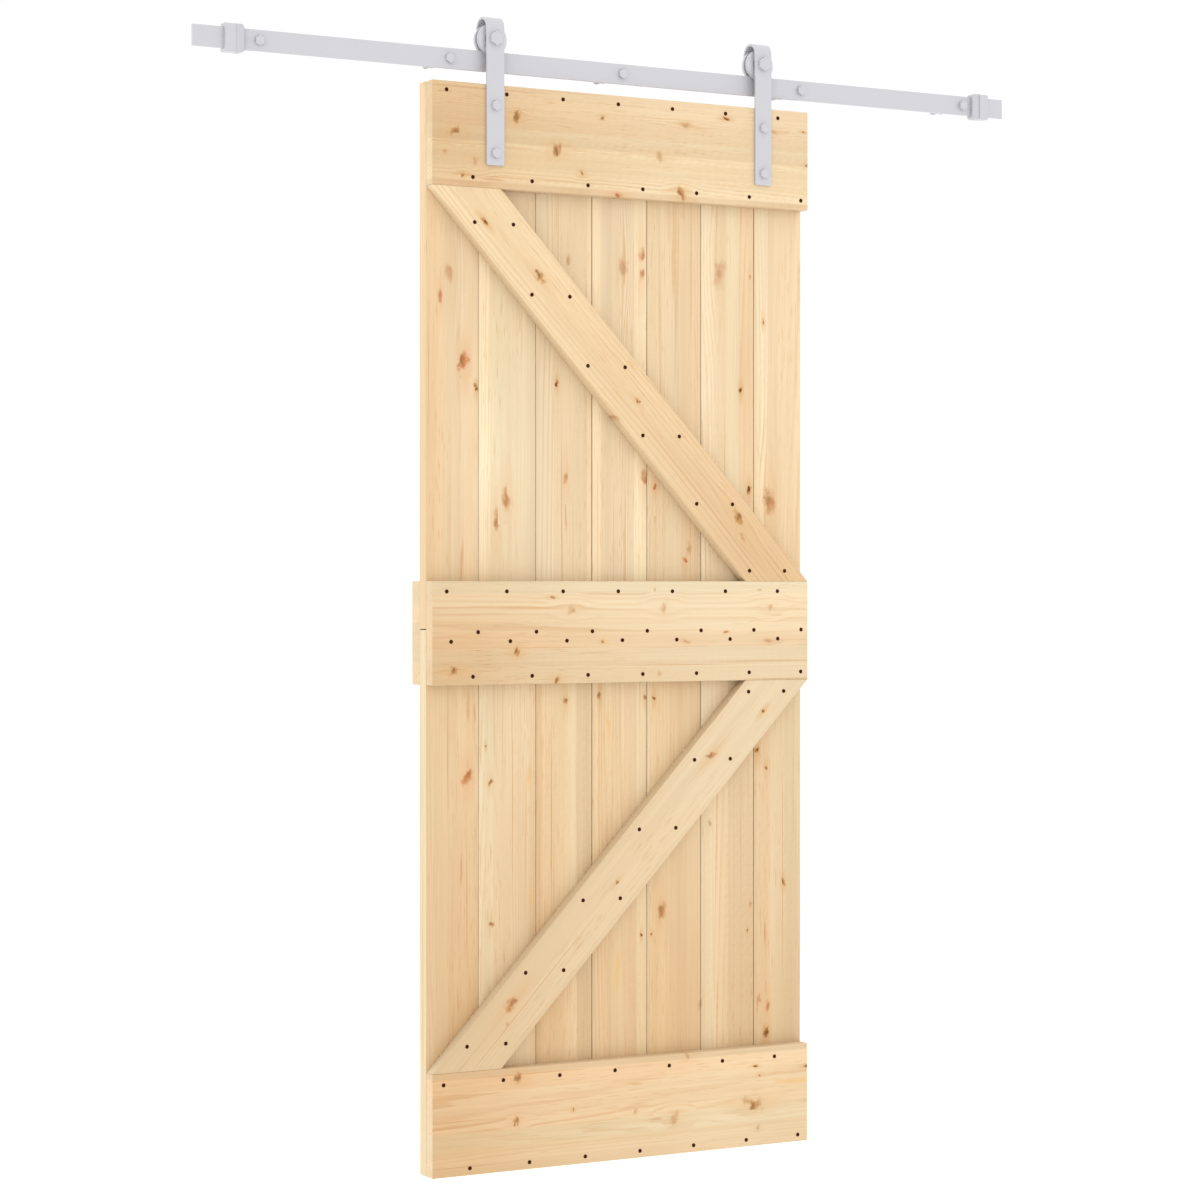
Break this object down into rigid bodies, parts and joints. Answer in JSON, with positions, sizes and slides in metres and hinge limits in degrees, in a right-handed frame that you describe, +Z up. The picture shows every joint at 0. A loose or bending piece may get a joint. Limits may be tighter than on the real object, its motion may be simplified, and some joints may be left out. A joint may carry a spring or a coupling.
{
  "type": "sliding barn door",
  "caption": "Sliding plank door with front rails and diagonal braces, hung by strap hangers whose grooved wheels roll along a flat wall-mounted rail between end stops.",
  "frame": {"origin": "where the axis of the middle wall bolt crosses the wall plane, at the back end of its spacer", "axes": "+X along the rail to the right as seen from the room, +Y into the wall, +Z up"},
  "size_m": [1.83, 0.148, 2.2323],
  "materials": {
    "pine_planks": "planed softwood, untreated",
    "pine_rails": "planed softwood, untreated",
    "dark_screws": "dark phosphate",
    "coated_steel": "satin powder coat",
    "coated_bolts": "satin powder coat",
    "wheel_coat": "satin powder coat, turned",
    "grey_rubber": "matt moulded",
    "plated_steel": "zinc plated"
  },
  "bodies": {
    "track": {"rail": "coated_steel", "wall_spacers": "coated_steel", "wall_bolts": "coated_bolts", "stop_screws": "plated_steel", "left_stop_collar": "coated_steel", "left_stop_bumper": "grey_rubber", "right_stop_collar": "coated_steel", "right_stop_bumper": "grey_rubber"},
    "door": {"upper_plank_1": "pine_planks", "upper_plank_2": "pine_planks", "upper_plank_3": "pine_planks", "upper_plank_4": "pine_planks", "upper_plank_5": "pine_planks", "upper_plank_6": "pine_planks", "upper_plank_7": "pine_planks", "lower_plank_1": "pine_planks", "lower_plank_2": "pine_planks", "lower_plank_3": "pine_planks", "lower_plank_4": "pine_planks", "lower_plank_5": "pine_planks", "lower_plank_6": "pine_planks", "lower_plank_7": "pine_planks", "top_rail": "pine_rails", "middle_rail": "pine_rails", "bottom_rail": "pine_rails", "middle_batten": "pine_rails", "upper_brace": "pine_rails", "lower_brace": "pine_rails", "top_rail_screws": "dark_screws", "middle_rail_screws": "dark_screws", "bottom_rail_screws": "dark_screws", "upper_brace_screws": "dark_screws", "lower_brace_screws": "dark_screws", "left_strap": "coated_steel", "right_strap": "coated_steel", "strap_bolts": "coated_bolts", "strap_nuts": "plated_steel", "axle_bolts": "coated_bolts", "axle_nuts": "plated_steel", "axle_sleeves": "plated_steel", "bearing_inner_rings": "plated_steel"},
    "left_wheel": {"left_wheel": "wheel_coat", "left_bearing_outer_ring": "plated_steel"},
    "right_wheel": {"right_wheel": "wheel_coat", "right_bearing_outer_ring": "plated_steel"}
  },
  "joints": [
    {"name": "door_slide", "type": "slide", "parent": "track", "child": "door", "axis": [1, 0, 0], "range_m": [-0.4895, 0.5034]},
    {"name": "left_wheel_spin", "type": "hinge", "parent": "door", "child": "left_wheel", "pos_m": [-0.29155, -0.079, 0.0423], "axis": [0, 1, 0], "range_deg": [-1400, 1400]},
    {"name": "right_wheel_spin", "type": "hinge", "parent": "door", "child": "right_wheel", "pos_m": [0.3156, -0.079, 0.0423], "axis": [0, 1, 0], "range_deg": [-1400, 1400]}
  ],
  "couplings": [
    {"joint": "left_wheel_spin", "follows": "door_slide", "rad_per_m": 45.455},
    {"joint": "right_wheel_spin", "follows": "door_slide", "rad_per_m": 45.455}
  ]
}
